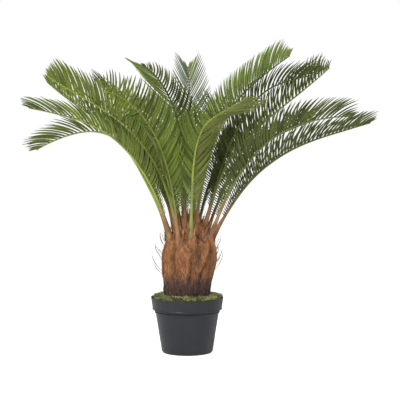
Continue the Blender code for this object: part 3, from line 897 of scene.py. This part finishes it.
def rounded(corners, steps=5):
    """An outline of (radius, height, round) whose corners are rounded by arcs."""
    outline = []
    for k, (r, z, turn) in enumerate(corners):
        here = Vector((r, z))
        if turn == 0 or k in (0, len(corners) - 1):
            outline.append(here)
            continue
        before = (Vector(corners[k - 1][:2]) - here).normalized()
        after = (Vector(corners[k + 1][:2]) - here).normalized()
        start = here + before * turn
        end = here + after * turn
        for i in range(steps + 1):
            s = i / steps
            outline.append(start * (1 - s) ** 2 + here * (2 * s * (1 - s)) + end * s * s)
    return [(p.x, p.y) for p in outline]


def wall_radius(height):
    """Outer radius of the pot's tapered wall."""
    band_foot = POT_HEIGHT - BAND_DEPTH
    slope = (WALL_TOP_RADIUS - WALL_FOOT_RADIUS) / (band_foot - FOOT_ROUND)
    return WALL_TOP_RADIUS - slope * (band_foot - height)


def build_pot():
    """The pot turned finely, with rolled edges: its profile runs down the inside and up the foot."""
    band_foot = POT_HEIGHT - BAND_DEPTH
    bead_top = band_foot - BEAD_DROP
    bead_foot = bead_top - BEAD_HEIGHT
    outline = rounded((
        (0.0, POT_FLOOR, 0),
        (WALL_FOOT_RADIUS - POT_WALL, POT_FLOOR, 0.003),
        (WALL_TOP_RADIUS - POT_WALL, band_foot - POT_WALL, 0.001),
        (BAND_FOOT_RADIUS - POT_WALL, band_foot + POT_WALL, 0.001),
        (RIM_RADIUS - POT_WALL, POT_HEIGHT, 0.0009),
        (RIM_RADIUS, POT_HEIGHT, 0.0011),
        (BAND_FOOT_RADIUS, band_foot + 0.0024, 0.0006),
        (BAND_FOOT_RADIUS + 0.0009, band_foot + 0.0016, 0.0004),
        (BAND_FOOT_RADIUS + 0.0007, band_foot, 0.0006),
        (WALL_TOP_RADIUS, band_foot, 0.0008),
        (wall_radius(bead_top), bead_top, 0.0008),
        (wall_radius(bead_top) + BEAD_PROUD, bead_top - 0.0004, 0.0007),
        (wall_radius(bead_foot) + BEAD_PROUD, bead_foot + 0.0004, 0.0007),
        (wall_radius(bead_foot), bead_foot, 0.0008),
        (WALL_FOOT_RADIUS, FOOT_ROUND, 0.002),
        (FOOT_RADIUS, 0.0, 0.0012),
        (FOOT_RADIUS - 0.006, 0.0, 0.0006),
        (FOOT_RADIUS - 0.0075, 0.0012, 0.0006),
        (0.0, 0.0012, 0),
    ))
    mesh = bpy.data.meshes.new("pot_shell")
    edges = [(i, i + 1) for i in range(len(outline) - 1)]
    mesh.from_pydata([(r, 0.0, z) for r, z in outline], edges, [])
    pot = linked("pot_shell", mesh)
    turn = pot.modifiers.new("Turn", "SCREW")
    turn.steps = turn.render_steps = 144
    turn.use_merge_vertices = True
    turn.merge_threshold = 1e-5
    turn.use_smooth_shade = True
    mesh.materials.append(mottled("pot_plastic", POT_TINTS, POT_FINISH))
    settle(pot, "pot_plastic", "pot")


def finish_fill():
    fill = bpy.data.objects["pot_fill"]
    fill.data.materials.clear()
    fill.data.materials.append(mottled("fill_cement", CEMENT_TINTS, CEMENT_FINISH))


# Shader effects

def new_group(name, inputs, outputs):
    """A new shader group with its ends, from the inputs' defaults and the outputs' kinds."""
    group = bpy.data.node_groups.new(name, "ShaderNodeTree")
    for label, value in inputs.items():
        kind = "Color" if isinstance(value, tuple) else "Float"
        socket = group.interface.new_socket(label, in_out="INPUT", socket_type=f"NodeSocket{kind}")
        socket.default_value = value
    for label, kind in outputs.items():
        group.interface.new_socket(label, in_out="OUTPUT", socket_type=f"NodeSocket{kind}")
    return group, group.nodes.new("NodeGroupInput"), group.nodes.new("NodeGroupOutput")


def node(tree, kind, inputs=None, **settings):
    """A shader node with its settings, and with the values of its inputs."""
    made = tree.nodes.new(f"ShaderNode{kind}")
    for name, value in settings.items():
        setattr(made, name, value)
    for socket, value in (inputs or {}).items():
        made.inputs[socket].default_value = value
    return made


def wire(tree, *routes):
    """Links by route: a node and its output, then the next node and its input."""
    for source, output, target, socket in routes:
        tree.links.new(source.outputs[output], target.inputs[socket])


def mottle_group():
    """Uneven colour: two tints mixed by soft noise, with a height for a Bump node."""
    group, given, gives = new_group(
        "mottle",
        {"Light": (1, 1, 1, 1), "Dark": (0, 0, 0, 1), "Scale": 20.0, "Grain": 400.0},
        {"Colour": "Color", "Mask": "Float", "Height": "Float"},
    )
    place = node(group, "TexCoord")
    broad = node(group, "TexNoise", {"Detail": 4.0})
    fine = node(group, "TexNoise", {"Detail": 2.0})
    level = node(group, "MapRange", {"From Min": 0.32, "From Max": 0.68})
    mix = node(group, "Mix", data_type="RGBA")
    wire(group,
         (place, "Object", broad, "Vector"), (place, "Object", fine, "Vector"),
         (given, "Scale", broad, "Scale"), (given, "Grain", fine, "Scale"),
         (broad, "Fac", level, "Value"), (level, "Result", mix, 0),
         (given, "Dark", mix, 6), (given, "Light", mix, 7), (mix, 2, gives, "Colour"),
         (level, "Result", gives, "Mask"), (fine, "Fac", gives, "Height"))
    return group


def streak_group():
    """Upright fibres: noise drawn out along Z, as a mask and a height."""
    group, given, gives = new_group(
        "streaks", {"Scale": 300.0, "Draw": 0.08}, {"Mask": "Float", "Height": "Float"})
    place = node(group, "TexCoord")
    split = node(group, "SeparateXYZ")
    drawn = node(group, "Math", operation="MULTIPLY")
    join = node(group, "CombineXYZ")
    fine = node(group, "TexNoise", {"Detail": 5.0, "Roughness": 0.65})
    level = node(group, "MapRange", {"From Min": 0.35, "From Max": 0.68})
    wire(group,
         (place, "Object", split, 0), (split, "X", join, "X"), (split, "Y", join, "Y"),
         (split, "Z", drawn, 0), (given, "Draw", drawn, 1), (drawn, 0, join, "Z"),
         (join, 0, fine, "Vector"), (given, "Scale", fine, "Scale"),
         (fine, "Fac", level, "Value"), (level, "Result", gives, "Mask"),
         (fine, "Fac", gives, "Height"))
    return group


def height_band_group():
    """A mask that rises from 0 to 1 between two heights, with a ragged edge."""
    group, given, gives = new_group(
        "height_band", {"Low": 0.1, "High": 0.2, "Ragged": 0.02, "Scale": 40.0}, {"Mask": "Float"})
    place = node(group, "TexCoord")
    split = node(group, "SeparateXYZ")
    rag = node(group, "TexNoise", {"Detail": 3.0})
    centred = node(group, "Math", {1: 0.5}, operation="SUBTRACT")
    swing = node(group, "Math", operation="MULTIPLY")
    height = node(group, "Math", operation="ADD")
    level = node(group, "MapRange", interpolation_type="SMOOTHSTEP")
    wire(group,
         (place, "Object", split, 0), (place, "Object", rag, "Vector"),
         (given, "Scale", rag, "Scale"), (rag, "Fac", centred, 0), (centred, 0, swing, 0),
         (given, "Ragged", swing, 1), (split, "Z", height, 0), (swing, 0, height, 1),
         (height, 0, level, "Value"), (given, "Low", level, "From Min"),
         (given, "High", level, "From Max"), (level, "Result", gives, "Mask"))
    return group


MOTTLE = mottle_group()
STREAKS = streak_group()
HEIGHT_BAND = height_band_group()


# Materials

def new_material(name, roughness, specular):
    """A new material, its nodes and its shader."""
    material = bpy.data.materials.new(name)
    material.use_nodes = True
    shader = material.node_tree.nodes["Principled BSDF"]
    shader.inputs["Roughness"].default_value = roughness
    shader.inputs["Specular IOR Level"].default_value = specular
    return material, material.node_tree, shader


def place_mottle(tree, tints, scale, grain):
    light, dark = tints
    values = {"Light": (*light, 1.0), "Dark": (*dark, 1.0), "Scale": scale, "Grain": grain}
    return node(tree, "Group", values, node_tree=MOTTLE)


def place_streaks(tree, scale, draw):
    return node(tree, "Group", {"Scale": scale, "Draw": draw}, node_tree=STREAKS)


def place_band(tree, span, ragged, scale):
    values = {"Low": span[0], "High": span[1], "Ragged": ragged, "Scale": scale}
    return node(tree, "Group", values, node_tree=HEIGHT_BAND)


def add_bump(tree, shader, source, strength, depth):
    bump = node(tree, "Bump", {"Strength": strength, "Distance": depth})
    wire(tree, (source, "Height", bump, "Height"), (bump, "Normal", shader, "Normal"))


def darkening(tree, tint):
    """A Mix node that darkens its first colour towards a tint."""
    return node(tree, "Mix", {7: (*tint, 1.0)}, data_type="RGBA", blend_type="MULTIPLY")


def mottled(name, tints, finish):
    roughness, specular, scale, grain, strength, depth = finish
    material, tree, shader = new_material(name, roughness, specular)
    mottle = place_mottle(tree, tints, scale, grain)
    wire(tree, (mottle, "Colour", shader, "Base Color"))
    add_bump(tree, shader, mottle, strength, depth)
    return material


def stalk_material(tone):
    """Tan foot that turns green up the stalk, with fine lengthwise streaks."""
    name = f"stalk_{tone}"
    if name in bpy.data.materials:
        return bpy.data.materials[name]
    material, tree, shader = new_material(name, 0.55, 0.5)
    brown = place_mottle(tree, STALK_BROWNS, 70.0, 700.0)
    green = place_mottle(tree, STALK_GREENS[tone], 30.0, 700.0)
    band = place_band(tree, STALK_TURNS[tone], 0.04, 60.0)
    streaks = place_streaks(tree, 700.0, 0.05)
    streaked = darkening(tree, STALK_STREAK)
    mix = node(tree, "Mix", data_type="RGBA")
    wire(tree,
         (streaks, "Mask", streaked, 0), (brown, "Colour", streaked, 6),
         (band, "Mask", mix, 0), (streaked, 2, mix, 6), (green, "Colour", mix, 7),
         (mix, 2, shader, "Base Color"))
    add_bump(tree, shader, streaks, 0.4, 0.0008)
    return material


def coir_material():
    """Copper-brown fibre sheet, dark and matted towards the pot."""
    material, tree, shader = new_material("coir_wrap", 0.85, 0.25)
    upper = place_mottle(tree, COIR_UPPER, 38.0, 900.0)
    lower = place_mottle(tree, COIR_LOWER, 60.0, 900.0)
    band = place_band(tree, COIR_TURNS, 0.045, 34.0)
    streaks = place_streaks(tree, 420.0, 0.1)
    by_height = node(tree, "Mix", data_type="RGBA")
    between = node(tree, "Math", {0: 1.0}, operation="SUBTRACT")
    streaked = darkening(tree, COIR_STREAK)
    wire(tree,
         (band, "Mask", by_height, 0), (lower, "Colour", by_height, 6),
         (upper, "Colour", by_height, 7), (streaks, "Mask", between, 1),
         (between, 0, streaked, 0), (by_height, 2, streaked, 6),
         (streaked, 2, shader, "Base Color"))
    add_bump(tree, shader, streaks, 0.7, 0.0015)
    return material


def floor_material():
    """Pale floor that is as white as the room behind it."""
    material, tree, shader = new_material("floor_paint", 0.9, 0.1)
    mottle = place_mottle(tree, FLOOR_TINTS, 3.0, 60.0)
    shader.inputs["Emission Color"].default_value = (1.0, 1.0, 1.0, 1.0)
    rays = node(tree, "LightPath")
    glow = node(tree, "Math", {1: FLOOR_GLOW}, operation="MULTIPLY")
    wire(tree,
         (mottle, "Colour", shader, "Base Color"), (rays, "Is Camera Ray", glow, 0),
         (glow, 0, shader, "Emission Strength"))
    return material


# Scene

def settle(piece, slot, *nodes):
    """Gives a piece its body and hides the parts of the nodes that it stands for. Its slot is not
    used.
    """
    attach(piece, "root")
    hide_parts(*nodes)


def build_floor():
    """A round floor just under the pot."""
    bpy.ops.mesh.primitive_circle_add(vertices=96, radius=12.0, fill_type="NGON",
                                      location=(0.0, 0.0, -0.0005))
    floor = bpy.context.object
    floor.name = "studio_floor"
    floor.data.materials.append(floor_material())


def build_lights():
    """A white room and two large soft lamps, shown with plain colours."""
    bpy.context.scene.view_settings.view_transform = "Standard"
    world = bpy.data.worlds.new("studio")
    bpy.context.scene.world = world
    world.use_nodes = True
    tree = world.node_tree
    sky = tree.nodes["Background"]
    sky.inputs["Color"].default_value = (1.0, 1.0, 1.0, 1.0)
    rays = node(tree, "LightPath")
    level = node(tree, "MapRange", {"To Min": ROOM_LIGHT, "To Max": 1.0})
    wire(tree, (rays, "Is Camera Ray", level, "Value"), (level, "Result", sky, "Strength"))
    for name, (place, target, size, power) in LAMPS.items():
        lamp = bpy.data.lights.new(name, "AREA")
        lamp.shape = "DISK"
        lamp.size = size
        lamp.energy = power
        light = linked(name, lamp)
        light.location = place
        light.rotation_euler = (Vector(target) - Vector(place)).to_track_quat("-Z", "Y").to_euler()


def build_camera():
    """A long lens at the height of the crown, looking a little down."""
    lens = bpy.data.cameras.new("camera")
    lens.lens = 115.9
    lens.sensor_width = 36.0
    camera = linked("camera", lens)
    camera.location = (0.03, -3.0, 0.546)
    camera.rotation_euler = (radians(90 - 3.6), 0.0, 0.0)
    bpy.context.scene.camera = camera


build_camera()
build_lights()
build_floor()
build_pot()
finish_fill()
build_moss_bed()
build_moss_sprigs()
build_trunk()
build_fibres()
build_wisps()
build_scales()
build_sheaths()
build_fronds()
